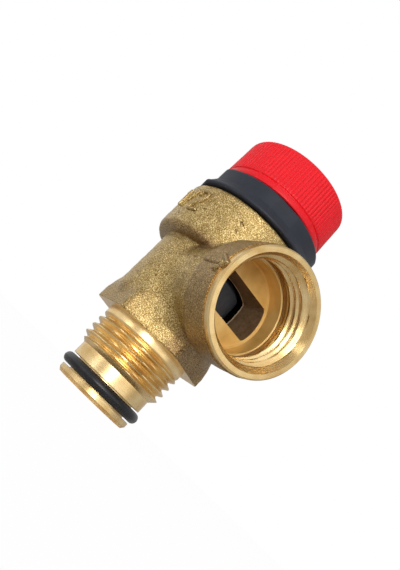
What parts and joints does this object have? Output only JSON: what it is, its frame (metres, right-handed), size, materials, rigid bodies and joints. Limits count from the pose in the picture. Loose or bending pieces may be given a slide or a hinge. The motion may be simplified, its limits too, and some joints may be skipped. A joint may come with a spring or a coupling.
{
  "type": "pressure relief valve",
  "caption": "Brass diaphragm relief valve with O-ring spigot inlet, threaded side outlet and a ribbed knob whose cams lift the stem off the seat.",
  "frame": {"origin": "on the stem's axis, in the plane of the inlet shoulder that the thread screws up to", "axes": "+Z along the stem from the inlet to the knob, +X along the outlet"},
  "size_m": [0.044, 0.0334, 0.0655],
  "materials": {
    "forged_brass": "shot-blasted forging, turned bright at threads, spigot and mouth",
    "turned_brass": "turned, bright",
    "plated_steel": "zinc plated",
    "black_rubber": "satin",
    "black_plastic": "fine moulded satin",
    "red_plastic": "satin moulded"
  },
  "bodies": {
    "housing": {"valve_body": "forged_brass", "inlet_o_ring": "black_rubber", "diaphragm": "black_rubber", "slip_ring": "plated_steel", "bonnet": "black_plastic", "spring_adjuster": "turned_brass", "spring": "plated_steel"},
    "lift_set": {"stem": "turned_brass", "lower_spring_plate": "plated_steel", "disc_holder": "black_plastic", "seat_disc": "black_rubber", "disc_washer": "plated_steel", "disc_screw": "plated_steel", "knob_washer": "plated_steel", "knob_screw": "plated_steel"},
    "test_knob": {"knob": "red_plastic", "knob_cap": "red_plastic"}
  },
  "joints": [
    {"name": "stem_lift", "type": "slide", "parent": "housing", "child": "lift_set", "axis": [0, 0, 1], "range_m": [0, 0.0015], "stiffness_N_per_m": 400, "springref_m": -0.004, "deforming": ["spring", "diaphragm"]},
    {"name": "knob_turn", "type": "hinge", "parent": "lift_set", "child": "test_knob", "pos_m": [0, 0, 0.04], "axis": [0, 0, 1], "range_deg": [0, 75]}
  ],
  "couplings": [
    {"joint": "knob_turn", "follows": "stem_lift", "rad_per_m": 872.66}
  ]
}
